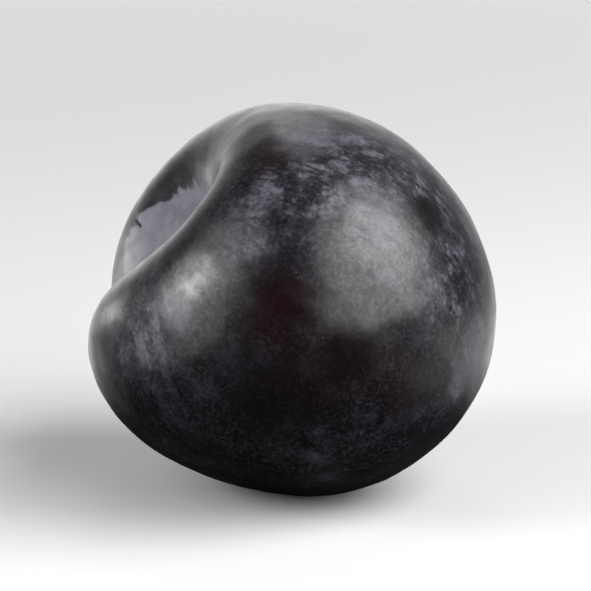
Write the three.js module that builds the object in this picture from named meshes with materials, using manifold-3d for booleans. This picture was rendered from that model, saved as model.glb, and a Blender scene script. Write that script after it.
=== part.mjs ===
// A whole black plum as picked, without its stem: one solid, lying on a small flat spot.
// Millimetres, +Z up. The origin is the middle of the flat spot, on the surface that the plum lies on.

import Module from 'manifold-3d';
import * as THREE from 'three';
import { mergeVertices } from 'three/addons/utils/BufferGeometryUtils.js';

const { degToRad, smoothstep } = THREE.MathUtils;

// ---- driving dimensions, with the fruit upright: stem end up, suture on the +X side
const CHEEK_RADIUS = 32;            // mean radius round the widest part
const STEM_DOME = 27.9;             // widest part up to the dome that the stem cavity is sunk in
const BLOSSOM_DOME = 32;            // widest part down to the blossom end

// ---- the section across the stem axis is not round; shares of the radius
const OVAL = 0.052;                 // longer one way and shorter the other
const OVAL_TURN = degToRad(-38);    // where the long way lies, from the suture
const SUTURE_SIDE = 0.058;          // fuller on the suture's side
const CHEEK_SIDE = -0.03;           // and less full on one cheek
const CHEEK_RISE = 0.07;            // that cheek is fuller above, the other one below

// ---- low swellings and a hollow that make the cheeks uneven: where, how wide and how high
const SWELLINGS = [
  { polar: 62, azimuth: -59, width: 34, height: 0.33 },
  { polar: 118, azimuth: 60, width: 26, height: -0.96 },
  { polar: 76, azimuth: -140, width: 28, height: 0.17 },
  { polar: 146, azimuth: 180, width: 26, height: 0.96 },
];

// ---- stem cavity: a wide bowl with a narrow pit, a little off the middle
const BOWL_DEPTH = 8.9;
const BOWL_RADIUS = 10.9;
const PIT_DEPTH = 1.3;
const PIT_RADIUS = 3.2;
const CAVITY_SHIFT = new THREE.Vector2(3.1, -0.8);
const CAVITY_SHIFT_FROM = 9.6;      // the shift is full from this distance, none on the axis

// ---- scar where the stem came off: a low corky ring on the cavity's floor
const SCAR_RADIUS = 1.8;
const SCAR_WIDTH = 0.6;
const SCAR_HEIGHT = 0.4;

// ---- suture: a broad shallow groove with a crease along its bottom
const GROOVE_DEPTH = 1.8;
const GROOVE_WIDTH = 6.3;
const GROOVE_LEAST = 0.45;          // share of its depth left at the blossom end
const GROOVE_LEAST_AT = -0.9;       // cosines of the polar angles between which it fades
const GROOVE_WHOLE_AT = 0.6;
const CREASE_DEPTH = 0.5;
const CREASE_WIDTH = 1.4;
const WANDER = 0.06;                // radians that the suture strays to each side
const GROOVE_START = 3.2;           // it begins in the cavity, this far from the axis
const GROOVE_FULL = 14.4;

// ---- saddle where the suture runs out over the cavity's rim
const SADDLE_DEPTH = 4;
const SADDLE_RADIUS = 17.6;
const SADDLE_LENGTH = 10;
const SADDLE_WIDTH = 10.8;

// ---- blossom end: a shallow dimple round the dry tip of the flower
const DIMPLE_DEPTH = 0.95;
const DIMPLE_RADIUS = 4.5;
const TIP_HEIGHT = 0.25;
const TIP_RADIUS = 1;

// ---- how it lies
const LEAN = degToRad(44.6);        // stem axis from the vertical
const HEADING = degToRad(198);      // side that the stem end leans to, from +X
const ROLL = degToRad(-46.6);       // turn round the stem axis, which places the suture
const FLAT_DEPTH = 0.55;            // what the surface under it presses flat

// ---- mesh: rings round the stem axis and columns from end to end
const RINGS = 50;
const COLUMNS = 64;
const RING_CROWDING = 0.5;          // closer rings at the two ends
const COLUMN_CROWDING = 0.6;        // closer columns at the suture
const END_BLEND = 0.35;             // cosine of the polar angle by which an end's forms are full
const UNDER_SIZE = 100;             // block that cuts the flat spot, wider than the fruit
const TOUCHING = 0.001;             // a corner this near the surface is on the flat spot

const bell = (distance, width) => Math.exp(-((distance / width) ** 2));

// Unit vector at a polar angle from the stem end and an azimuth from the suture.
function towards(polar, azimuth) {
  const outward = Math.sin(polar);
  return new THREE.Vector3(outward * Math.cos(azimuth), outward * Math.sin(azimuth), Math.cos(polar));
}

// Share by which the swellings raise the skin in one direction: a bell round each one's middle.
function swelling(polar, azimuth) {
  const direction = towards(polar, azimuth);
  let raised = 0;
  for (const place of SWELLINGS) {
    const middle = towards(degToRad(place.polar), degToRad(place.azimuth));
    const apart = 1 - direction.dot(middle);
    const reach = 1 - Math.cos(degToRad(place.width));
    raised += (place.height / CHEEK_RADIUS) * Math.exp(-apart / reach);
  }
  return raised;
}

// Azimuth of the suture, which strays a little to each side on its way down.
const wander = (polar) => WANDER * Math.sin(2 * polar);

// How much wider than its mean radius the section is at this place.
function sectionFactor(polar, azimuth) {
  const outward = Math.sin(polar);
  const lopsided = SUTURE_SIDE * Math.cos(azimuth) + CHEEK_SIDE * Math.sin(azimuth);
  const oval = OVAL * Math.cos(2 * (azimuth - OVAL_TURN));
  const uneven = CHEEK_RISE * Math.cos(polar) * Math.sin(azimuth);
  return 1 + outward * lopsided + outward ** 2 * (oval + uneven);
}

// A point of the skin of the upright fruit: two half ellipsoids, made uneven by the section and the
// swellings, less the suture's groove, the saddle and the cavity, plus the scar and the blossom end.
function skinPoint(polar, azimuth) {
  const rise = Math.cos(polar);
  const dome = rise > 0 ? STEM_DOME : BLOSSOM_DOME;
  const fromMiddle = 1 / Math.hypot(Math.sin(polar) / CHEEK_RADIUS, rise / dome);
  const fromAxis = fromMiddle * Math.sin(polar);

  const acrossSuture = fromAxis * Math.sin(azimuth - wander(polar));
  const sutureSide = ((1 + Math.cos(azimuth)) / 2) ** 2;
  const begun = smoothstep(fromAxis, GROOVE_START, GROOVE_FULL) * sutureSide;
  const deepness = GROOVE_LEAST + (1 - GROOVE_LEAST) * smoothstep(rise, GROOVE_LEAST_AT, GROOVE_WHOLE_AT);
  const broad = GROOVE_DEPTH * deepness * bell(acrossSuture, GROOVE_WIDTH);
  const groove = (broad + CREASE_DEPTH * bell(acrossSuture, CREASE_WIDTH)) * begun;

  const scale = 1 + swelling(polar, azimuth) - groove / fromMiddle;
  const width = fromAxis * sectionFactor(polar, azimuth) * scale;
  const point = new THREE.Vector3(width * Math.cos(azimuth), width * Math.sin(azimuth), 0);

  const shifted = smoothstep(fromAxis, 0, CAVITY_SHIFT_FROM);
  const fromCavity = Math.hypot(
    fromAxis * Math.cos(azimuth) - CAVITY_SHIFT.x * shifted,
    fromAxis * Math.sin(azimuth) - CAVITY_SHIFT.y * shifted,
  );
  const cavity = BOWL_DEPTH * bell(fromCavity, BOWL_RADIUS) + PIT_DEPTH * bell(fromCavity, PIT_RADIUS);
  const saddleAlong = SADDLE_DEPTH * bell(fromAxis - SADDLE_RADIUS, SADDLE_LENGTH);
  const saddle = saddleAlong * bell(acrossSuture, SADDLE_WIDTH) * begun;
  const scar = SCAR_HEIGHT * bell(fromAxis - SCAR_RADIUS, SCAR_WIDTH);
  const dimple = DIMPLE_DEPTH * bell(fromAxis, DIMPLE_RADIUS) - TIP_HEIGHT * bell(fromAxis, TIP_RADIUS);
  const stemEnd = smoothstep(rise, 0, END_BLEND) * (scar - cavity - saddle);
  const blossomEnd = smoothstep(-rise, 0, END_BLEND) * dimple;
  point.z = fromMiddle * rise * scale + stemEnd + blossomEnd;
  return point;
}

// An angle for an even share of the way: the whole span, with its steps drawn closer at the ends.
function crowded(share, span, crowding) {
  return span * (share - (crowding * Math.sin(2 * Math.PI * share)) / (2 * Math.PI));
}

// The closed skin: one corner at each end, rings of corners between them, and faces pointing out.
function uprightSkin() {
  const corners = [skinPoint(0, 0)];
  for (let ring = 1; ring < RINGS; ring += 1) {
    const polar = crowded(ring / RINGS, Math.PI, RING_CROWDING);
    for (let column = 0; column < COLUMNS; column += 1) {
      const fromSuture = crowded(column / COLUMNS, 2 * Math.PI, COLUMN_CROWDING);
      corners.push(skinPoint(polar, wander(polar) + fromSuture));
    }
  }
  corners.push(skinPoint(Math.PI, 0));

  const last = corners.length - 1;
  const corner = (ring, column) => 1 + (ring - 1) * COLUMNS + (column % COLUMNS);
  const faces = [];
  for (let column = 0; column < COLUMNS; column += 1) {
    faces.push(0, corner(1, column), corner(1, column + 1));
    for (let ring = 1; ring < RINGS - 1; ring += 1) {
      faces.push(corner(ring, column), corner(ring + 1, column), corner(ring + 1, column + 1));
      faces.push(corner(ring, column), corner(ring + 1, column + 1), corner(ring, column + 1));
    }
    faces.push(corner(RINGS - 1, column), last, corner(RINGS - 1, column + 1));
  }
  const skin = new THREE.BufferGeometry().setFromPoints(corners);
  skin.setIndex(faces);
  return skin;
}

// Turn the upright fruit to how it lies, and set it so that the surface presses FLAT_DEPTH of it flat.
function layDown(skin) {
  const lying = new THREE.Matrix4().makeRotationZ(HEADING);
  lying.multiply(new THREE.Matrix4().makeRotationY(LEAN));
  lying.multiply(new THREE.Matrix4().makeRotationZ(ROLL));
  skin.applyMatrix4(lying);
  skin.computeBoundingBox();
  skin.translate(0, 0, -skin.boundingBox.min.z - FLAT_DEPTH);
  return skin;
}

const wasm = await Module();
wasm.setup();

// A closed geometry as a solid that can be cut: corners that meet are merged into one.
function toSolid(geometry) {
  const bare = geometry.clone();
  bare.deleteAttribute('normal');
  bare.deleteAttribute('uv');
  const merged = mergeVertices(bare);
  const vertProperties = new Float32Array(merged.attributes.position.array);
  const triVerts = new Uint32Array(merged.index.array);
  return new wasm.Manifold(new wasm.Mesh({ numProp: 3, vertProperties, triVerts }));
}

// And back: a solid as a geometry for a mesh.
function toGeometry(solid) {
  const { vertProperties, triVerts } = solid.getMesh();
  const geometry = new THREE.BufferGeometry();
  geometry.setAttribute('position', new THREE.BufferAttribute(vertProperties, 3));
  geometry.setIndex(new THREE.BufferAttribute(triVerts, 1));
  return geometry;
}

// Cut the flat spot, and move the fruit so that the spot's middle is the origin.
function withFlatSpot(skin) {
  const under = new THREE.BoxGeometry(UNDER_SIZE, UNDER_SIZE, UNDER_SIZE);
  under.translate(0, 0, -UNDER_SIZE / 2);
  const fruit = toGeometry(toSolid(skin).subtract(toSolid(under)));
  const places = fruit.attributes.position;
  const spot = new THREE.Box3();
  const place = new THREE.Vector3();
  for (let index = 0; index < places.count; index += 1) {
    place.fromBufferAttribute(places, index);
    if (place.z < TOUCHING) spot.expandByPoint(place);
  }
  const middle = spot.getCenter(new THREE.Vector3());
  fruit.translate(-middle.x, -middle.y, 0);
  fruit.computeVertexNormals();
  return fruit;
}

// Black skin, dulled a little by its wax.
const skinFinish = new THREE.MeshStandardMaterial({ color: 0x231b26, roughness: 0.4, metalness: 0 });

const plum = new THREE.Mesh(withFlatSpot(layDown(uprightSkin())), skinFinish);
plum.name = 'plum';

const part = new THREE.Group();
part.add(plum);

export default part;
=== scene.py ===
# %% [markdown]
# # A whole black plum
#
# The fruit lies on one side of its blossom end, with the stem cavity turned up and to the left. It is
# one grown body: two cheeks, the suture between them, the cavity where the stem sat, and the dry tip of
# the flower at the other end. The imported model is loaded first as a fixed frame. The fine surface made
# here takes the place of its faceted solid, in the same place and at the same size.

import bpy
import numpy as np
from mathutils import Matrix, Vector


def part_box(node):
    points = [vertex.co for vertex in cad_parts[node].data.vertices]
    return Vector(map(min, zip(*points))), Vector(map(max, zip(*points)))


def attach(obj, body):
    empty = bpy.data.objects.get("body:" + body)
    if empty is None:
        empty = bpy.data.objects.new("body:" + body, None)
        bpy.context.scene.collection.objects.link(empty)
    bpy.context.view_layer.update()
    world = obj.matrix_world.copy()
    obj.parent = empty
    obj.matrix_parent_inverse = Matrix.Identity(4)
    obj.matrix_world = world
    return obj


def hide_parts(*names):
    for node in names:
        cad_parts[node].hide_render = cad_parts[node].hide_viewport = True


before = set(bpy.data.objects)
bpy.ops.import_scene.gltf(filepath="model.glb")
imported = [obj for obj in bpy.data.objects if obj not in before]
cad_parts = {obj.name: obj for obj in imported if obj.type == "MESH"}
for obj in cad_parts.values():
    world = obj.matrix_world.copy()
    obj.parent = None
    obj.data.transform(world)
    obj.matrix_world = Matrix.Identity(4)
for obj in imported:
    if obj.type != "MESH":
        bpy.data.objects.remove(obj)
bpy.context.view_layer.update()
SOLID_LOW, SOLID_HIGH = (np.array(corner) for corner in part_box("plum"))
SOLID_MIDDLE = (SOLID_LOW + SOLID_HIGH) / 2
print("solid, mm:", np.round((SOLID_HIGH - SOLID_LOW) * 1000, 1))

# %% [markdown]
# ## The form of the fruit
#
# A plum could be sculpted or made from a squashed sphere, but its form is easy to say in words: two half
# ellipsoids that meet at the widest part, a section that isn't quite round, a few low swellings, a bowl
# with a pit for the stem, a groove for the suture, and a saddle where the groove runs over the bowl's
# rim. So the skin is worked out as one function of two angles: the polar angle from the stem end, and
# the azimuth round the stem axis from the suture. Every size is in metres.

# %% Sizes of the fruit, upright: stem end up, suture on the +X side
CHEEK_RADIUS = 0.032
STEM_DOME = 0.0279
BLOSSOM_DOME = 0.032

# the section: an oval and its turn, what it gains or loses towards the suture and towards one cheek, and
# how much wider that cheek is at the stem end
OVAL = 0.052
OVAL_TURN = np.radians(-38)
SUTURE_SIDE = 0.058
CHEEK_SIDE = -0.03
CHEEK_RISE = 0.07

# polar angle, azimuth and half width in degrees, then height
SWELLINGS = (
    (62, -59, 34, 0.00033),
    (118, 60, 26, -0.00096),
    (76, -140, 28, 0.00017),
    (146, 180, 26, 0.00096),
)

# the stem cavity: a bowl with a narrow pit, and how far the bowl's rim lies off the axis
BOWL_DEPTH, BOWL_RADIUS = 0.0089, 0.0109
PIT_DEPTH, PIT_RADIUS = 0.0013, 0.0032
CAVITY_SHIFT_X, CAVITY_SHIFT_Y = 0.0031, -0.0008
CAVITY_SHIFT_FROM = 0.0096

# the suture: a broad groove, weaker towards the blossom end, with a narrow crease at its bottom
GROOVE_DEPTH, GROOVE_WIDTH = 0.0018, 0.0063
GROOVE_LEAST, GROOVE_LEAST_AT, GROOVE_WHOLE_AT = 0.45, -0.9, 0.6
GROOVE_START, GROOVE_FULL = 0.0032, 0.0144
CREASE_DEPTH, CREASE_WIDTH = 0.0005, 0.0014
WANDER = 0.06

# the saddle, where the suture runs over the cavity's rim
SADDLE_DEPTH, SADDLE_RADIUS = 0.0040, 0.0176
SADDLE_LENGTH, SADDLE_WIDTH = 0.0100, 0.0108

# the scar's ring, and the blossom end's dimple with its dry tip
SCAR_RADIUS, SCAR_WIDTH, SCAR_HEIGHT = 0.0018, 0.0006, 0.0004
DIMPLE_DEPTH, DIMPLE_RADIUS = 0.00095, 0.0045
TIP_HEIGHT, TIP_RADIUS = 0.00025, 0.001
END_BLEND = 0.35


def bell(distance, width):
    """A smooth hump: 1 in the middle, falling off as e to the minus (distance over width) squared."""
    return np.exp(-((distance / width) ** 2))


def ease(start, end, value):
    """0 before start, 1 after end, and 3t^2 - 2t^3 between them."""
    share = np.clip((value - start) / (end - start), 0, 1)
    return share * share * (3 - 2 * share)


def wander(polar):
    """Azimuth of the suture: it strays to one side in the upper half and to the other in the lower."""
    return WANDER * np.sin(2 * polar)


def towards(polar, azimuth):
    """Unit vector at a polar angle and an azimuth."""
    outward = np.sin(polar)
    return np.stack([outward * np.cos(azimuth), outward * np.sin(azimuth), np.cos(polar)], axis=-1)


def cap(direction, middle, half_width):
    """A round patch on a sphere of directions: 1 in its middle, falling off as e to the minus
    (1 - cos of the angle from the middle) over (1 - cos of the half width)."""
    return np.exp(-(1 - direction @ middle) / (1 - np.cos(np.radians(half_width))))


def swelling(polar, azimuth):
    """Share by which the swellings raise the skin: the sum of their caps, times height over radius."""
    direction = towards(polar, azimuth)
    raised = np.zeros(polar.shape)
    for place_polar, place_azimuth, half_width, height in SWELLINGS:
        middle = towards(np.radians(place_polar), np.radians(place_azimuth))
        raised += height / CHEEK_RADIUS * cap(direction, middle, half_width)
    return raised


def section_factor(polar, azimuth):
    """How much wider than its mean radius the section is: 1, plus a lopsided share, plus an oval that
    goes twice round, plus one cheek's rise, each fading out towards the two ends."""
    outward = np.sin(polar)
    lopsided = SUTURE_SIDE * np.cos(azimuth) + CHEEK_SIDE * np.sin(azimuth)
    oval = OVAL * np.cos(2 * (azimuth - OVAL_TURN))
    uneven = CHEEK_RISE * np.cos(polar) * np.sin(azimuth)
    return 1 + outward * lopsided + outward ** 2 * (oval + uneven)


def upright_skin(polar, azimuth):
    """Points of the skin and what lies where on it. Distance from the middle = 1 over the length of
    (sin polar over cheek radius, cos polar over dome height). The width is that times sin polar times the
    section, and both are scaled by 1 + swelling - groove. The stem end sinks by bowl, pit and saddle and
    rises by the scar's ring, and the blossom end has its dimple and tip."""
    rise = np.cos(polar)
    dome = np.where(rise > 0, STEM_DOME, BLOSSOM_DOME)
    from_middle = 1 / np.hypot(np.sin(polar) / CHEEK_RADIUS, rise / dome)
    from_axis = from_middle * np.sin(polar)

    across = from_axis * np.sin(azimuth - wander(polar))
    suture_side = ((1 + np.cos(azimuth)) / 2) ** 2
    begun = ease(GROOVE_START, GROOVE_FULL, from_axis) * suture_side
    deepness = GROOVE_LEAST + (1 - GROOVE_LEAST) * ease(GROOVE_LEAST_AT, GROOVE_WHOLE_AT, rise)
    broad = GROOVE_DEPTH * deepness * bell(across, GROOVE_WIDTH)
    crease = CREASE_DEPTH * bell(across, CREASE_WIDTH)
    groove = (broad + crease) * begun

    scale = 1 + swelling(polar, azimuth) - groove / from_middle
    width = from_axis * section_factor(polar, azimuth) * scale

    shifted = ease(0, CAVITY_SHIFT_FROM, from_axis)
    from_cavity = np.hypot(
        from_axis * np.cos(azimuth) - CAVITY_SHIFT_X * shifted,
        from_axis * np.sin(azimuth) - CAVITY_SHIFT_Y * shifted,
    )
    cavity = BOWL_DEPTH * bell(from_cavity, BOWL_RADIUS) + PIT_DEPTH * bell(from_cavity, PIT_RADIUS)
    saddle = SADDLE_DEPTH * bell(from_axis - SADDLE_RADIUS, SADDLE_LENGTH)
    saddle = saddle * bell(across, SADDLE_WIDTH) * begun
    scar = SCAR_HEIGHT * bell(from_axis - SCAR_RADIUS, SCAR_WIDTH)
    dimple = DIMPLE_DEPTH * bell(from_axis, DIMPLE_RADIUS) - TIP_HEIGHT * bell(from_axis, TIP_RADIUS)
    stem_end = ease(0, END_BLEND, rise) * (scar - cavity - saddle)
    blossom_end = ease(0, END_BLEND, -rise) * dimple
    height = from_middle * rise * scale + stem_end + blossom_end

    points = np.stack([width * np.cos(azimuth), width * np.sin(azimuth), height], axis=-1)
    in_crease = bell(across, CREASE_WIDTH) * begun
    return points, in_crease, from_axis


# %% [markdown]
# ## Small unevenness
#
# Even a glossy skin is never a perfect surface: it is a little wavy, which makes a reflection's edge
# wobble. A noise texture could do it in the material, but a form that shows belongs in the mesh. A sum of
# plane waves in random directions gives it: each wave is a cosine of the place along its direction, so it
# is smooth everywhere and needs no grid.

# %% Plane waves
WAVE_SEED = 11
WAVE_COUNT = 48
WAVES = ((0.011, 0.00006), (0.0045, 0.00002))   # wave length and height, of the long ones and the short


def waviness(points):
    """Sum of cosines of 2 pi (place along a random direction) over wave length plus a random phase,
    divided by the root of their count, so that the height given is that of the whole sum."""
    chance = np.random.default_rng(WAVE_SEED)
    total = np.zeros(points.shape[:-1])
    for length, height in WAVES:
        for _ in range(WAVE_COUNT):
            direction = chance.normal(size=3)
            direction /= np.linalg.norm(direction)
            phase = chance.uniform(0, 2 * np.pi)
            total += np.cos(2 * np.pi * (points @ direction) / length + phase) * height
    return total / np.sqrt(WAVE_COUNT)


# %% [markdown]
# ## How it lies
#
# The upright fruit is turned as the solid is: rolled about its stem axis, leaned over, and headed. It is
# then set into the solid's own box, and what would go below the surface is pressed flat, softly, as the
# skin of a real fruit is where it carries its weight.

# %% Turn, place and press
LEAN = np.radians(44.6)
HEADING = np.radians(198)
ROLL = np.radians(-46.6)
PRESS_SOFTNESS = 0.00004


def turned(points):
    """Each point times the turn: roll about Z, then lean about Y, then heading about Z."""
    turn = Matrix.Rotation(HEADING, 3, "Z") @ Matrix.Rotation(LEAN, 3, "Y") @ Matrix.Rotation(ROLL, 3, "Z")
    return points @ np.array(turn).T


def placed(points):
    """Moved so that its box has the middle of the solid's box in X and Y, and the same top."""
    flat = points.reshape(-1, 3)
    low, high = flat.min(axis=0), flat.max(axis=0)
    shift = SOLID_MIDDLE - (low + high) / 2
    shift[2] = SOLID_HIGH[2] - high[2]
    return points + shift


def pressed(points):
    """Heights never below the surface: softness times log(1 + e to the height over softness)."""
    firm = points.copy()
    firm[..., 2] = PRESS_SOFTNESS * np.logaddexp(0, points[..., 2] / PRESS_SOFTNESS)
    return firm


# %% [markdown]
# ## The mesh
#
# The two angles make a grid of rings and columns. Rings are drawn closer at the two ends, where the scar
# and the tip are small, and columns closer at the suture, where the crease is narrow. Each end closes on
# one point with a fan of triangles, so the skin is one closed body with no seam.

# %% Grid of angles
RINGS = 300
COLUMNS = 310
RING_CROWDING = 0.5
COLUMN_CROWDING = 0.5


def crowded(shares, span, crowding):
    """Angles for even shares of the way, closer at both ends: span times (share - crowding times
    sin(2 pi share) over 2 pi)."""
    return span * (shares - crowding * np.sin(2 * np.pi * shares) / (2 * np.pi))


def closed_mesh(name, rings, stem_point, blossom_point):
    """One mesh from a grid of points, ring by ring, and the two end points."""
    ring_count, column_count = rings.shape[:2]
    corners = np.concatenate([[stem_point], rings.reshape(-1, 3), [blossom_point]])
    index = 1 + np.arange(ring_count * column_count).reshape(ring_count, column_count)
    following = np.roll(index, -1, axis=1)
    quads = np.stack([index[:-1], index[1:], following[1:], following[:-1]], axis=-1).reshape(-1, 4)
    stem_fan = np.stack([np.zeros_like(index[0]), index[0], following[0]], axis=-1)
    blossom_fan = np.stack([index[-1], np.full_like(index[0], len(corners) - 1), following[-1]], axis=-1)
    mesh = bpy.data.meshes.new(name)
    mesh.from_pydata(corners.tolist(), [], [*stem_fan.tolist(), *quads.tolist(), *blossom_fan.tolist()])
    mesh.polygons.foreach_set("use_smooth", np.ones(len(mesh.polygons), dtype=bool))
    mesh.update()
    return mesh


# %% Make the fruit
ring_shares = np.arange(1, RINGS) / RINGS
column_shares = np.arange(COLUMNS) / COLUMNS
ring_angles = np.concatenate([[0], crowded(ring_shares, np.pi, RING_CROWDING), [np.pi]])
column_angles = crowded(column_shares, 2 * np.pi, COLUMN_CROWDING)
POLAR, FROM_SUTURE = np.meshgrid(ring_angles, column_angles, indexing="ij")
AZIMUTH = FROM_SUTURE + wander(POLAR)
skin_points, crease_share, axis_distance = upright_skin(POLAR, AZIMUTH)

around_middle = skin_points / np.linalg.norm(skin_points, axis=-1, keepdims=True)
skin_points = skin_points + around_middle * waviness(skin_points)[..., None]
lying_points = pressed(placed(turned(skin_points)))

plum_mesh = closed_mesh("plum_skin", lying_points[1:-1], lying_points[0, 0], lying_points[-1, 0])
plum = bpy.data.objects.new("plum_skin", plum_mesh)
bpy.context.scene.collection.objects.link(plum)
print("skin:", len(plum_mesh.vertices), "corners,", len(plum_mesh.polygons), "faces")

# %% [markdown]
# ## Where the wax lies
#
# A plum's wax isn't spread evenly. It is thick where nothing has touched it, in the stem cavity and along
# the valley that leads out of it, mottled or dusty on some flanks, and rubbed off on others. Those places
# could be painted by hand, but a formula is easier to change: each is a soft round patch round a direction
# from the fruit's middle. A fourth table says where the skin is ripest and so reddest.

# %% Patches of wax: side (from the camera's side towards +X), height, half width in degrees, share
FRUIT_MIDDLE = np.array((0, 0, 0.03))
MOTTLED = (
    (-16, 28, 8, 0.8),
    (-11, 38, 9, 0.7),
    (-4, 46, 9, 1.0),
    (8, 49, 9, 1.0),
    (26, 53, 11, 1.3),
    (41, 53, 12, 1.5),
    (64, 60, 12, 0.6),
    (74, 44, 12, 0.8),
    (76, 28, 12, 0.7),
    (72, 12, 11, 0.6),
    (52, 43, 11, 1.1),
    (58, 34, 11, 1.0),
    (56, 24, 11, 0.85),
    (50, 13, 12, 0.85),
    (47, 6, 11, 0.9),
    (6, 45, 11, 1.3),
    (28, 36, 14, 0.6),
    (34, 18, 14, 0.6),
    (-41, 0, 11, 0.8),
    (18, -26, 14, 0.5),
    (128, 10, 18, 0.9),
    (170, 40, 16, 0.8),
    (-140, -12, 17, 0.8),
    (-95, -35, 15, 0.7),
)
DUSTY = (
    (57, -4, 9, 0.65),
    (56, -12, 11, 0.75),
    (8, 66, 12, 0.9),
    (32, 60, 10, 0.5),
    (-43, 4, 8, 1.1),
    (-40, -2, 7, 1.1),
    (-32, 5, 6, 0.8),
    (-49, -5, 8, 0.9),
    (-90, 13, 8, 0.8),
    (150, 28, 20, 0.7),
    (-150, 10, 16, 0.7),
    (110, -25, 14, 0.7),
)
RUBBED = (
    (50, 34, 6, 1.15),
    (68, 28, 7, 0.7),
    (56, 24, 6, 0.6),
    (-4, 14, 11, 1.0),
    (-6, -8, 18, 0.75),
    (14, 0, 11, 0.85),
    (-32, 26, 9, 0.4),
    (-22, 60, 12, 0.6),
    (34, -15, 11, 0.6),
    (175, 5, 13, 0.8),
    (-120, 40, 12, 0.8),
)
RIPE = (
    (-3, 14, 8, 1.2),
    (-5, 5, 8, 1.0),
    (6, 0, 14, 0.7),
    (24, -8, 15, 0.5),
    (-15, 60, 14, 0.7),
    (-150, -20, 22, 0.8),
    (140, 55, 20, 0.7),
)


def facing(side, height):
    """Unit vector that points to a side and a height, both in degrees."""
    return towards(np.radians(90 - height), np.radians(side - 90))


def patches(points, table):
    """The largest of a table's soft patches at each point."""
    outward = points - FRUIT_MIDDLE
    outward /= np.linalg.norm(outward, axis=-1, keepdims=True)
    shares = [share * cap(outward, facing(side, height), width) for side, height, width, share in table]
    return np.max(shares, axis=0)


# %% [markdown]
# ## Where the thick wax ends
#
# The wax in the stem cavity has a shape of its own, which round patches can't give. It is simplest in a
# plan, seen along the stem axis: one oval leads from the scar out along the valley, a second lies round the
# scar, and a short scratch is cut near the border. The plan gives a number that falls evenly through 0 at
# the border, and leaves the border's fine teeth to the material.

# %% The thick wax of the stem cavity, seen along the stem axis
THICK_MIDDLE = (0.0100, 0.0014)     # towards the suture, and to its side
THICK_HALF_LENGTH = 0.0150
THICK_HALF_WIDTH = 0.0094
ROUND_SCAR = (0.0030, 0.0034)
ROUND_SCAR_HALF_LENGTH = 0.0108
ROUND_SCAR_HALF_WIDTH = 0.0072
SCRATCH_START = (0.0168, -0.0070)
SCRATCH_END = (0.0157, -0.0056)
SCRATCH_WIDTH = 0.00011
# out along the valley the thick wax turns palest: partly real wax, partly a painted reflection of pale light
# where the suture leaves the cavity
PALEST_AND_REFLECTION_FROM, PALEST_AND_REFLECTION_AT = 0.011, 0.023
# the border turns soft between these two places: aside, back past the scar, and far out along the valley
SOFT_SIDE = (-0.0030, 0.0010)
SOFT_HEAD = (0.0010, -0.0030)
SOFT_TAIL = (0.018, 0.022)


def from_segment(along, aside, start, end):
    """Distance to the nearest point of a straight piece of line between two places."""
    span = np.subtract(end, start)
    share = ((along - start[0]) * span[0] + (aside - start[1]) * span[1]) / (span @ span)
    share = np.clip(share, 0, 1)
    return np.hypot(along - start[0] - share * span[0], aside - start[1] - share * span[1])


def thick_wax(polar, azimuth, from_axis):
    """1 in the middle of an oval, 0 on its edge, less than 0 outside: 1 minus the length of (along over half
    length, aside over half width). The larger of the two ovals counts, less the scratch. The second result
    goes from 0 to 1 out along the valley, where the wax is palest and partly a painted reflection of pale
    light, and the third is 1 where the border is soft."""
    along = from_axis * np.cos(azimuth)
    aside = from_axis * np.sin(azimuth)

    def oval(middle, half_length, half_width):
        return 1 - np.hypot((along - middle[0]) / half_length, (aside - middle[1]) / half_width)

    ovals = np.maximum(oval(THICK_MIDDLE, THICK_HALF_LENGTH, THICK_HALF_WIDTH),
                       oval(ROUND_SCAR, ROUND_SCAR_HALF_LENGTH, ROUND_SCAR_HALF_WIDTH))
    scratch = bell(from_segment(along, aside, SCRATCH_START, SCRATCH_END), SCRATCH_WIDTH)
    stem_side = polar < np.pi / 2
    palest_and_reflection = ease(PALEST_AND_REFLECTION_FROM, PALEST_AND_REFLECTION_AT, along) * stem_side
    soft = np.maximum.reduce([ease(*SOFT_SIDE, aside), ease(*SOFT_HEAD, along), ease(*SOFT_TAIL, along)])
    return np.where(stem_side, ovals - scratch, -1), palest_and_reflection, soft


# %% [markdown]
# ## Numbers for the material
#
# A material can't know by itself where the cavity or the suture is. So each mask is stored on the mesh as
# an attribute, one number for every corner, which Blender blends across the faces and the material reads by
# name. Weights painted by hand would be stored the same way.

# %% Store the masks on the mesh
STREAK_RADIUS = 0.012


def per_corner(grid):
    """The values of a grid in the order of the mesh's corners."""
    width = grid.shape[2:]
    return np.concatenate([grid[0, :1], grid[1:-1].reshape(-1, *width), grid[-1, :1]])


def add_mask(name, grid):
    """A number for each corner that the material can read by name."""
    attribute = plum_mesh.attributes.new(name, "FLOAT", "POINT")
    attribute.data.foreach_set("value", per_corner(grid).astype(np.float32))


stem_half = POLAR < np.pi / 2
add_mask("crease", crease_share)
add_mask("cork", np.where(stem_half, bell(axis_distance, SCAR_RADIUS), 0))
add_mask("tip", np.where(stem_half, 0, bell(axis_distance, TIP_RADIUS)))
thick_share, palest_and_reflection_share, soft_share = thick_wax(POLAR, AZIMUTH, axis_distance)
add_mask("thick", thick_share)
add_mask("palest_and_reflection", palest_and_reflection_share)
add_mask("soft", soft_share)
for mask_name, table in {"mottled": MOTTLED, "dusty": DUSTY, "rubbed": RUBBED, "ripe": RIPE}.items():
    add_mask(mask_name, patches(lying_points, table))

# a place that changes fast round the stem axis and slowly away from it, for streaks that point outwards
streak_ring = np.stack([np.cos(AZIMUTH), np.sin(AZIMUTH)], axis=-1) * STREAK_RADIUS
streak_place = np.concatenate([streak_ring, (POLAR * CHEEK_RADIUS)[..., None]], axis=-1)
outwards = plum_mesh.attributes.new("outwards", "FLOAT_VECTOR", "POINT")
outwards.data.foreach_set("vector", per_corner(streak_place).astype(np.float32).ravel())
print("masks:", [attribute.name for attribute in plum_mesh.attributes])

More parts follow.
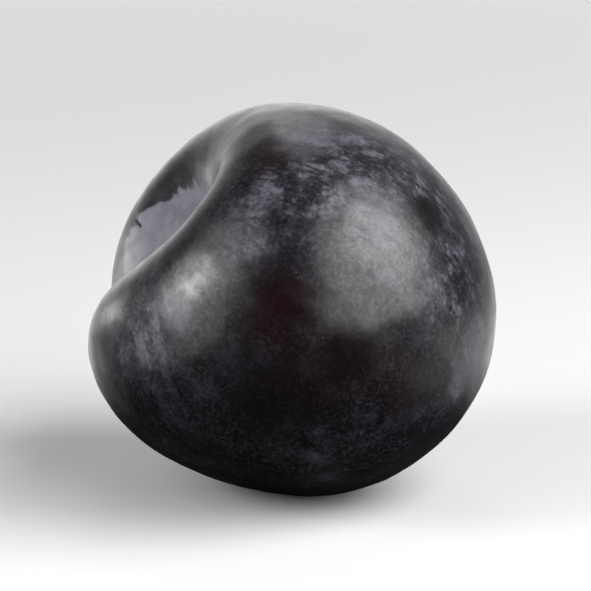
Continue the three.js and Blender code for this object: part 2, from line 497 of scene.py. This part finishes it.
# %% [markdown]
# ## The skin
#
# A black plum's skin is a deep purple that is nearly black, reddest where it is thinnest, with a satin
# gloss. Over it lies a bloom of wax, thin and bluish grey, which dulls the gloss. Handling wipes it off in
# patches, so it is uneven, and it stays thickest in the stem cavity, where nothing rubs. The skin is also
# dotted with tiny pale pores. An image could hold all that, but noise and cell patterns read from the
# fruit's own coordinates have no seam and stay sharp at any distance.
#
# A tree of nodes soon gets long, so two small classes come first. With them a finish reads as a recipe:
# noises and masks become shares from 0 to 1, and each share lays one colour over another.

# %% Helpers for node trees: nodes, links and arithmetic
NODE_GAP = 200
HALF = 0.5
# a Mix node has sockets for every kind of value, and these are the ones for colours
MIX_FIRST, MIX_SECOND, MIX_RESULT = 6, 7, 2


class Nodes:
    """Adds nodes to the tree of a material or a world, and links them."""

    def __init__(self, owner):
        owner.use_nodes = True
        self.tree = owner.node_tree
        self.column = 0

    def add(self, kind, **settings):
        """A new node, set to the left of the last one."""
        node = self.tree.nodes.new(kind)
        self.column -= NODE_GAP
        node.location.x = self.column
        for name, value in settings.items():
            setattr(node, name, value)
        return node

    def feed(self, socket, value):
        """Link another node's output to a socket, or set the socket to a plain value."""
        if isinstance(value, bpy.types.NodeSocket):
            self.tree.links.new(value, socket)
        else:
            socket.default_value = value

    def math(self, operation, first, second):
        node = self.add("ShaderNodeMath", operation=operation)
        self.feed(node.inputs[0], first)
        self.feed(node.inputs[1], second)
        return node.outputs["Value"]

    def plus(self, first, second):
        return self.math("ADD", first, second)

    def minus(self, first, second):
        return self.math("SUBTRACT", first, second)

    def times(self, first, second):
        return self.math("MULTIPLY", first, second)

    def mean(self, first, second):
        return self.times(self.plus(first, second), HALF)

    def product(self, first, *others):
        for other in others:
            first = self.times(other, first)
        return first

    def most(self, first, second):
        return self.math("MAXIMUM", first, second)

    def between(self, value, low, high, low_result=0.0, high_result=1.0):
        """Maps low to high smoothly onto the two results, and stays at them outside."""
        node = self.add("ShaderNodeMapRange", interpolation_type="SMOOTHSTEP")
        self.feed(node.inputs["Value"], value)
        node.inputs["From Min"].default_value = low
        node.inputs["From Max"].default_value = high
        node.inputs["To Min"].default_value = low_result
        node.inputs["To Max"].default_value = high_result
        return node.outputs["Result"]

    def across(self, share, outside, inside):
        """Goes from one result where the share is 0 to the other where it is 1."""
        return self.between(share, 0.0, 1.0, outside, inside)

    def mix(self, share, first, second):
        """Colour that goes from the first to the second with the share."""
        node = self.add("ShaderNodeMix", data_type="RGBA")
        self.feed(node.inputs["Factor"], share)
        self.feed(node.inputs[MIX_FIRST], first)
        self.feed(node.inputs[MIX_SECOND], second)
        return node.outputs[MIX_RESULT]


# %% Helpers for materials: places, noises, masks and relief
NOISE_MIDDLE = 0.5


class Finish(Nodes):
    """Nodes of one material, with its shader and the place on the object."""

    def __init__(self, material):
        super().__init__(material)
        self.shader = self.tree.nodes["Principled BSDF"]
        self.place = self.add("ShaderNodeTexCoord").outputs["Object"]

    def attribute(self, name, output):
        """Reads what the mesh's corners store under a name."""
        return self.add("ShaderNodeAttribute", attribute_name=name).outputs[output]

    def mask(self, name):
        return self.attribute(name, "Fac")

    def noise(self, look, place=None):
        """Noise. Its look is the size of its lumps in metres, its detail and its roughness."""
        size, detail, roughness = look
        node = self.add("ShaderNodeTexNoise")
        self.feed(node.inputs["Vector"], self.place if place is None else place)
        node.inputs["Scale"].default_value = 1 / size
        node.inputs["Detail"].default_value = detail
        node.inputs["Roughness"].default_value = roughness
        return node.outputs["Fac"]

    def streaks(self, look):
        """Noise drawn out away from the stem. Its look ends with how fast it changes that way: the lower,
        the longer the streaks."""
        *noise_look, pace = look
        node = self.add("ShaderNodeMapping")
        self.feed(node.inputs["Vector"], self.attribute("outwards", "Vector"))
        node.inputs["Scale"].default_value = (1, 1, pace)
        return self.noise(noise_look, node.outputs["Vector"])

    def swing(self, noise, reach):
        """(Noise - its middle) times reach: above 0 in some places and below it in others."""
        return self.times(self.minus(noise, NOISE_MIDDLE), reach)

    def cell_distance(self, size):
        """Distance to the nearest of scattered points about `size` metres apart, in shares of that."""
        node = self.add("ShaderNodeTexVoronoi", feature="F1")
        self.feed(node.inputs["Vector"], self.place)
        node.inputs["Scale"].default_value = 1 / size
        return node.outputs["Distance"]

    def length(self, vector):
        node = self.add("ShaderNodeVectorMath", operation="LENGTH")
        self.feed(node.inputs[0], vector)
        return node.outputs["Value"]

    def bumps(self, relief, height):
        """Normals of a relief that is `height` metres high where its value is 1."""
        node = self.add("ShaderNodeBump")
        self.feed(node.inputs["Height"], relief)
        node.inputs["Distance"].default_value = height
        return node.outputs["Normal"]


# %% [markdown]
# ## Wax on the open skin
#
# Wax that has been handled is never even. A thin haze and fine dust lie everywhere, some flanks are mottled
# with specks, others have a brushed layer, and rubbed places keep little. One noise can't look like that,
# because the real pattern has several sizes at once. So each kind of wax is a product of shares: where its
# patch lies, how large clouds break it up, and how fine specks or streaks do.

# %% Haze, specks and brushed layers
# noises: size of the lumps in metres, detail, roughness, and for streaks the pace along them
CLOUDS = (0.008, 7.0, 0.66)
BLOTS = (0.0036, 3.0, 0.6)
SPECKS = (0.0018, 6.0, 0.72)
GRAINS = (0.0007, 3.0, 0.65)
DUST = (0.0006, 2.0, 0.6)
DASHES = (0.00045, 4.0, 0.65, 0.12)
STROKES = (0.0011, 4.0, 0.6, 0.10)
PATCH_SWING = 1.2
DOTS_UNEVEN = 0.35

# spans: from which value to which a noise or mask counts, and what each end gives (0 and 1 unless said)
HAZE_SPAN = (0.42, 0.72)
DUST_SPAN = (0.46, 0.70)
GRAIN_SPAN = (0.36, 0.64, 0.55, 1.0)
BRUSHED_SPAN = (0.36, 0.66, 0.35, 1.0)
COMBED_SPAN = (0.36, 0.66, 0.50, 1.10)
BLOTS_SPAN = (0.38, 0.60, 0.40, 1.10)
DOTS_SPAN = (0.43, 0.60, 0.10, 1.0)
MOTTLED_SPAN = (0.10, 1.0)
DUSTY_SPAN = (0.15, 1.0)
UNRUBBED_SPAN = (-0.40, 0.25, 1.0, 0.20)

# how much of the wax's colour covers the skin, at most
HAZE_COVER = 0.09
DUST_COVER = 0.05
MOTTLED_COVER = 0.29
DUSTY_COVER = 0.34


def open_wax(nodes):
    """Share of wax on the open skin: (haze + dust + the most of mottled and dusty layers) times what isn't
    rubbed off. Haze is clouds times strokes times grain. A mottled layer is its patch times dots times
    blots times grain, and a dusty one its patch times strokes times blots times grain."""
    clouds = nodes.noise(CLOUDS)
    specks = nodes.mean(nodes.noise(SPECKS), nodes.streaks(DASHES))
    strokes = nodes.streaks(STROKES)
    grain = nodes.between(nodes.noise(GRAINS), *GRAIN_SPAN)
    haze = nodes.product(HAZE_COVER, nodes.between(clouds, *HAZE_SPAN),
                         nodes.between(strokes, *BRUSHED_SPAN), grain)
    dust = nodes.times(nodes.between(nodes.noise(DUST), *DUST_SPAN), DUST_COVER)

    uneven = nodes.swing(clouds, PATCH_SWING)
    blots = nodes.between(nodes.noise(BLOTS), *BLOTS_SPAN)
    dots = nodes.between(nodes.plus(specks, nodes.times(uneven, DOTS_UNEVEN)), *DOTS_SPAN)
    in_mottled = nodes.between(nodes.plus(nodes.mask("mottled"), uneven), *MOTTLED_SPAN)
    mottled = nodes.product(MOTTLED_COVER, in_mottled, dots, blots, grain)
    combed = nodes.between(strokes, *COMBED_SPAN)
    in_dusty = nodes.between(nodes.plus(nodes.mask("dusty"), uneven), *DUSTY_SPAN)
    dusty = nodes.product(DUSTY_COVER, in_dusty, combed, blots, grain)

    rubbed = nodes.minus(nodes.mask("rubbed"), nodes.mean(clouds, specks))
    layers = nodes.plus(nodes.plus(haze, dust), nodes.most(mottled, dusty))
    return nodes.times(layers, nodes.between(rubbed, *UNRUBBED_SPAN))


# %% [markdown]
# ## Wax in the cavity
#
# Nothing rubs inside the stem cavity, so the wax there is thick, and ends in a ragged border of small
# teeth. A border drawn in the mesh would need very small faces. Instead, the thick mask falls evenly through
# 0 at the border, streaky noise is added to it, and only then is it cut off sharply, so the border is as
# ragged as the noise. Where the soft mask is 1, the noise is weaker and the cut is gentle.

# %% Thick wax with its border
BLOTCHES = (0.0022, 3.0, 0.6)
BORDER_STREAKS = (0.0030, 5.0, 0.70, 0.25)
BORDER_TEETH = (0.0011, 2.0, 0.5, 0.4)
STREAK_SWING, TOOTH_SWING = 0.55, 0.3
SOFT_SWING, SOFT_CUT = 0.45, 0.14
BORDER_SPAN = (-0.06, 0.09)
BLOTCHES_SPAN = (0.35, 0.65, 0.75, 1.0)

THICK_COVER = 0.53
PALEST_AND_REFLECTION_COVER = 0.85
CREASE_COVER = 0.06


def sheltered_wax(nodes):
    """Share of wax in the cavity: its cover times blotches, cut off where (thick mask + streaks + teeth)
    falls through 0. In the crease it is at least the crease mask times its cover."""
    soft = nodes.mask("soft")
    ragged = nodes.plus(nodes.swing(nodes.streaks(BORDER_STREAKS), STREAK_SWING),
                        nodes.swing(nodes.streaks(BORDER_TEETH), TOOTH_SWING))
    ragged = nodes.times(ragged, nodes.across(soft, 1.0, SOFT_SWING))
    border = nodes.times(nodes.plus(nodes.mask("thick"), ragged), nodes.across(soft, 1.0, SOFT_CUT))
    blotches = nodes.between(nodes.noise(BLOTCHES), *BLOTCHES_SPAN)
    # out along the valley the cover rises to the palest wax, which is partly a painted reflection of pale
    # light
    cover = nodes.across(nodes.mask("palest_and_reflection"), THICK_COVER, PALEST_AND_REFLECTION_COVER)
    thick = nodes.product(cover, nodes.between(border, *BORDER_SPAN), blotches)
    return nodes.most(thick, nodes.times(nodes.mask("crease"), CREASE_COVER))


# %% [markdown]
# ## Colour, pores and gloss
#
# The skin's own colour is so dark that its red shows only as a warm shade. Over it come the pores, the wax,
# the cork at the stem's scar and the dry tip, each laid on by its share. The gloss is satin and uneven. The
# roughness rises with the wax, so waxed places are dull and wiped ones shine. Grains and streaks change the
# strength of the mirror image finely, and a relief lower than a hair is thick breaks up its edges.

# %% Colour of the bare skin, linear red, green, blue
BLACK_PURPLE = (0.0030, 0.0020, 0.0030, 1)
MAROON = (0.0050, 0.0013, 0.0019, 1)
PORE = (0.070, 0.048, 0.050, 1)

RIPE_CLOUDS = (0.007, 6.0, 0.5)
RIPE_SWING = 1.6
RIPE_SPAN = (0.10, 1.15)
PORE_SPACING = 0.0020
PORE_CROWDS = (0.004, 2.0, 0.5)
PORE_SIZE_SPAN = (0.40, 0.65, 0.0, 0.10)
PORE_BORDER_SPAN = (-0.02, 0.02)
PORE_COVER = 0.5


def skin_colour(nodes):
    """Black purple that turns maroon where it is ripe, with its pores, and where those pores are: each cell
    has a dot where the distance from its point is less than the pore size, which a noise takes to 0."""
    redness = nodes.plus(nodes.mask("ripe"), nodes.swing(nodes.noise(RIPE_CLOUDS), RIPE_SWING))
    skin = nodes.mix(nodes.between(redness, *RIPE_SPAN), BLACK_PURPLE, MAROON)
    pore_size = nodes.between(nodes.noise(PORE_CROWDS), *PORE_SIZE_SPAN)
    inside_pore = nodes.minus(pore_size, nodes.cell_distance(PORE_SPACING))
    is_pore = nodes.between(inside_pore, *PORE_BORDER_SPAN)
    return nodes.mix(nodes.times(is_pore, PORE_COVER), skin, PORE), is_pore


# %% Gloss
# strength of the mirror image
MIRROR_GRAINS = (0.0012, 5.0, 0.85)
MIRROR_SPAN = (0.36, 0.64, 0.40, 0.60)      # 0.5 is what the skin's refractive index gives
SKIN_STREAKS = (0.0014, 3.0, 0.5, 0.12)
STREAK_MIRROR_SPAN = (0.35, 0.65, 0.86, 1.14)
PORE_MIRROR = 0.25
CREASE_MIRROR = 0.50

# roughness
GLOSS_CLOUDS = (0.0025, 3.0, 0.5)
BARE_SPAN = (0.32, 0.68, 0.28, 0.34)
WIPED_SPAN = (0.2, 1.0, 0.0, -0.08)
WAXED_SPAN = (0.0, 0.35, 0.0, 0.18)

# relief
LUMPS = (0.0040, 2.0, 0.5)
FINE_LUMPS = (0.0006, 2.0, 0.5)
FINE_LUMPS_SHARE = 0.30
STREAKS_SHARE = 0.8
RELIEF_HEIGHT = 0.000025


def mirror_strength(nodes, streaks, is_pore):
    """Grains times streaks, times what pores and the crease leave of it."""
    grains = nodes.between(nodes.noise(MIRROR_GRAINS), *MIRROR_SPAN)
    streaky = nodes.between(streaks, *STREAK_MIRROR_SPAN)
    on_pores = nodes.across(is_pore, 1.0, PORE_MIRROR)
    in_crease = nodes.across(nodes.mask("crease"), 1.0, CREASE_MIRROR)
    return nodes.product(grains, streaky, on_pores, in_crease)


def roughness_under(nodes, wax):
    """Roughness of the bare skin, less where it is wiped, and more with the wax."""
    bare = nodes.between(nodes.noise(GLOSS_CLOUDS), *BARE_SPAN)
    wiped = nodes.between(nodes.mask("rubbed"), *WIPED_SPAN)
    return nodes.plus(nodes.plus(bare, wiped), nodes.between(wax, *WAXED_SPAN))


def skin_relief(nodes, streaks):
    """Lumps, plus a share of finer lumps, plus a share of the streaks."""
    lumps = nodes.plus(nodes.noise(LUMPS), nodes.times(nodes.noise(FINE_LUMPS), FINE_LUMPS_SHARE))
    return nodes.plus(lumps, nodes.times(streaks, STREAKS_SHARE))


# %% The whole finish
WAX = (0.185, 0.190, 0.230, 1)
# the palest wax out along the valley, partly a painted reflection of pale light
PALE_WAX_AND_REFLECTION = (0.300, 0.303, 0.312, 1)
CORK = (0.095, 0.066, 0.042, 1)
DRY_TIP = (0.060, 0.042, 0.030, 1)
CORK_SPAN = (0.25, 0.6)
TIP_SPAN = (0.2, 0.6)
SKIN_IOR = 1.45


def plum_finish():
    """Near-black skin under uneven wax, with pores, cork at the stem's scar and a dry tip."""
    material = bpy.data.materials.new("plum_skin")
    nodes = Finish(material)
    skin, is_pore = skin_colour(nodes)
    wax = nodes.most(open_wax(nodes), sheltered_wax(nodes))
    # the wax turns pale out along the valley, partly a painted reflection of pale light
    colour = nodes.mix(wax, skin, nodes.mix(nodes.mask("palest_and_reflection"), WAX, PALE_WAX_AND_REFLECTION))
    colour = nodes.mix(nodes.between(nodes.mask("cork"), *CORK_SPAN), colour, CORK)
    colour = nodes.mix(nodes.between(nodes.mask("tip"), *TIP_SPAN), colour, DRY_TIP)
    streaks = nodes.streaks(SKIN_STREAKS)

    sockets = nodes.shader.inputs
    nodes.feed(sockets["Base Color"], colour)
    nodes.feed(sockets["Specular IOR Level"], mirror_strength(nodes, streaks, is_pore))
    nodes.feed(sockets["Roughness"], roughness_under(nodes, wax))
    nodes.feed(sockets["Normal"], nodes.bumps(skin_relief(nodes, streaks), RELIEF_HEIGHT))
    sockets["IOR"].default_value = SKIN_IOR
    return material


plum.data.materials.append(plum_finish())
print("finish:", len(plum.active_material.node_tree.nodes), "nodes")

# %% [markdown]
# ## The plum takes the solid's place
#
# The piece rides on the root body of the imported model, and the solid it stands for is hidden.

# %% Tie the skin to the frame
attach(plum, "root")
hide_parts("plum")

# %% [markdown]
# ## Floor
#
# The floor is plain and pale, and fades out into the pale surroundings, so no horizon shows from any side.
# A pale floor would light up the whole lower half of a glossy black fruit. It could be made darker, but then
# it would no longer be a pale floor. So mirror images see a dark card in its place, close round the fruit: a
# painted shadow, which stands for the floor in shade under the fruit. An object can be hidden from the
# camera, from mirror images or from soft light, each on its own.

# %% Floor and painted shadow card, each a square that fades out
SQUARE_HALF = 1.0
MATT_ROUGHNESS, MATT_MIRROR = 0.9, 0.1
FLOOR_COLOUR = (0.500, 0.508, 0.497, 1)
FLOOR_DROP = 0.00005
FLOOR_FADES = (0.12, 0.60)
# the card's colour is a painted shadow: the floor in shade round the fruit, as mirror images see it
SHADOW_CARD_COLOUR = (0.01, 0.01, 0.01, 1)
SHADOW_CARD_DROP = 0.00003
SHADOW_CARD_FADES = (0.035, 0.085)


def fading_square(name, colour, drop, fades):
    """A square just under the fruit that turns see-through between two distances from its middle."""
    corners = [(-SQUARE_HALF, -SQUARE_HALF, -drop), (SQUARE_HALF, -SQUARE_HALF, -drop),
               (SQUARE_HALF, SQUARE_HALF, -drop), (-SQUARE_HALF, SQUARE_HALF, -drop)]
    mesh = bpy.data.meshes.new(name)
    mesh.from_pydata(corners, [], [(0, 1, 2, 3)])
    square = bpy.data.objects.new(name, mesh)
    bpy.context.scene.collection.objects.link(square)
    material = bpy.data.materials.new(name)
    nodes = Finish(material)
    nodes.shader.inputs["Base Color"].default_value = colour
    nodes.shader.inputs["Roughness"].default_value = MATT_ROUGHNESS
    nodes.shader.inputs["Specular IOR Level"].default_value = MATT_MIRROR
    away = nodes.length(nodes.place)
    nodes.feed(nodes.shader.inputs["Alpha"], nodes.between(away, *fades, 1.0, 0.0))
    mesh.materials.append(material)
    return square


floor = fading_square("pale_floor", FLOOR_COLOUR, FLOOR_DROP, FLOOR_FADES)
floor.visible_glossy = False

# a dark card seen only in mirror images: a painted shadow that stands for the floor in shade round the fruit
shadow_card = fading_square("painted_shadow_card", SHADOW_CARD_COLOUR, SHADOW_CARD_DROP, SHADOW_CARD_FADES)
shadow_card.visible_camera = False
shadow_card.visible_diffuse = False
shadow_card.visible_shadow = False
print("floor fades out at", FLOOR_FADES[1], "m, card at", SHADOW_CARD_FADES[1], "m")

# %% [markdown]
# ## Light
#
# Dark glossy fruit shows what it mirrors more than its own colour. Two broad soft boxes that overlap on
# the right make the large soft light on its cheek. On the left, a small bright one in a broad faint glow
# makes the smaller light below the cavity. The dark band between them mirrors the dim room on the camera's
# side. A tall box behind lights the top, and a low strip, behind and to the left, draws the streak where
# the suture enters the cavity. Behind the fruit everything is pale, which draws its pale edges.

# %% Soft boxes
# side and height in degrees, distance, width and height of the oval face in metres, and how bright it is
SOFT_BOXES = {
    "left_box": (-77, 22, 0.60, 0.22, 0.27, 15.0),
    "left_glow": (-64, 23, 0.62, 0.50, 0.84, 3.0),
    "right_low": (60, 31, 0.55, 0.80, 0.80, 5.3),
    "right_high": (78, 43, 0.56, 0.52, 0.48, 3.9),
    "back_box": (-178, 50, 0.60, 0.17, 0.36, 1.6),
    "low_strip": (-127, -2, 0.62, 0.22, 0.12, 5.0),
}
LAMP_COLOUR = (1.0, 0.975, 0.997)


def aimed(obj, side, height, distance):
    """Stand at that side and height, in degrees, and look at the fruit's middle."""
    away = Vector(facing(side, height))
    obj.location = Vector(FRUIT_MIDDLE) + away * distance
    obj.rotation_euler = away.to_track_quat("Z", "Y").to_euler()


def oval_power(width, height, brightness):
    """Watts of an oval face: brightness times pi times its area, which is pi / 4 times both its sizes."""
    return brightness * np.pi * (np.pi / 4 * width * height)


for box_name, (side, height, distance, box_width, box_height, brightness) in SOFT_BOXES.items():
    lamp = bpy.data.lights.new(box_name, "AREA")
    lamp.shape = "ELLIPSE"
    lamp.size = box_width
    lamp.size_y = box_height
    lamp.energy = oval_power(box_width, box_height, brightness)
    lamp.color = LAMP_COLOUR
    box = bpy.data.objects.new(box_name, lamp)
    box.visible_camera = False
    bpy.context.scene.collection.objects.link(box)
    aimed(box, side, height, distance)
    print(box_name, "W:", round(lamp.energy, 2))

# %% [markdown]
# ## Surroundings
#
# Between the soft boxes the fruit mirrors the room itself, so the room is graded too. It is dim on the
# camera's side, pale behind, weaker to the right, and it has a lit table low down on the right. A panorama
# of a room could do this, but a few graded shares of the direction are smooth and easy to move. The camera
# itself sees one plain pale backdrop instead.

# %% Surroundings: share of light from each direction, as a vector to the right, back and up
DIM, PALE, TABLE = 0.040, 1.9, 1.2
PALE_NARROWS = 4
SIDE_SPAN = (-0.1, 0.4, 1.0, 0.30)      # the pale part weakens towards the right
TABLE_RIGHT_SPAN = (0.05, 0.40)
TABLE_BACK_SPAN = (-0.30, 0.15)
TABLE_DOWN_SPAN = (-0.12, -0.28)
LIT_SPAN = (-0.90, -0.45)
WHITE = (1, 1, 1, 1)
BACKDROP = (0.90, 0.90, 0.895, 1)


def make_world():
    """(Dim + pale times how far back the direction points, to a power) times the side's share, plus the
    table, which is right times back times down. All of it fades out straight below."""
    world = bpy.data.worlds.new("studio")
    nodes = Nodes(world)
    direction = nodes.add("ShaderNodeSeparateXYZ")
    nodes.feed(direction.inputs["Vector"], nodes.add("ShaderNodeTexCoord").outputs["Generated"])
    right, back, up = direction.outputs

    backwards = nodes.math("POWER", nodes.most(back, 0), PALE_NARROWS)
    behind = nodes.plus(nodes.times(backwards, PALE), DIM)
    behind = nodes.times(behind, nodes.between(right, *SIDE_SPAN))
    table = nodes.product(TABLE, nodes.between(right, *TABLE_RIGHT_SPAN),
                          nodes.between(back, *TABLE_BACK_SPAN), nodes.between(up, *TABLE_DOWN_SPAN))
    light = nodes.times(nodes.plus(behind, table), nodes.between(up, *LIT_SPAN))

    room = nodes.tree.nodes["Background"]
    room.inputs["Color"].default_value = WHITE
    nodes.feed(room.inputs["Strength"], light)
    backdrop = nodes.add("ShaderNodeBackground")
    backdrop.inputs["Color"].default_value = BACKDROP
    # the first shader is for everything else, and the second for the camera
    chosen = nodes.add("ShaderNodeMixShader")
    nodes.feed(chosen.inputs["Fac"], nodes.add("ShaderNodeLightPath").outputs["Is Camera Ray"])
    nodes.feed(chosen.inputs[1], room.outputs["Background"])
    nodes.feed(chosen.inputs[2], backdrop.outputs["Background"])
    nodes.feed(nodes.tree.nodes["World Output"].inputs["Surface"], chosen.outputs["Shader"])
    return world


bpy.context.scene.world = make_world()
bpy.context.scene.view_settings.view_transform = "Standard"
print("surroundings:", len(bpy.context.scene.world.node_tree.nodes), "nodes")

# %% [markdown]
# ## Camera
#
# The camera looks down a little, at the fruit's middle. It could stand close with a short lens, but then the
# near side would bulge. A long lens from farther off keeps the proportions.

# %% Camera: height in degrees, distance in metres, focal length in millimetres
CAMERA_HEIGHT = 15
CAMERA_DISTANCE = 0.9
LENS = 360
camera_data = bpy.data.cameras.new("camera")
camera_data.lens = LENS
camera = bpy.data.objects.new("camera", camera_data)
bpy.context.scene.collection.objects.link(camera)
aimed(camera, 0, CAMERA_HEIGHT, CAMERA_DISTANCE)
bpy.context.scene.camera = camera
print("camera, m:", np.round(camera.location, 3))
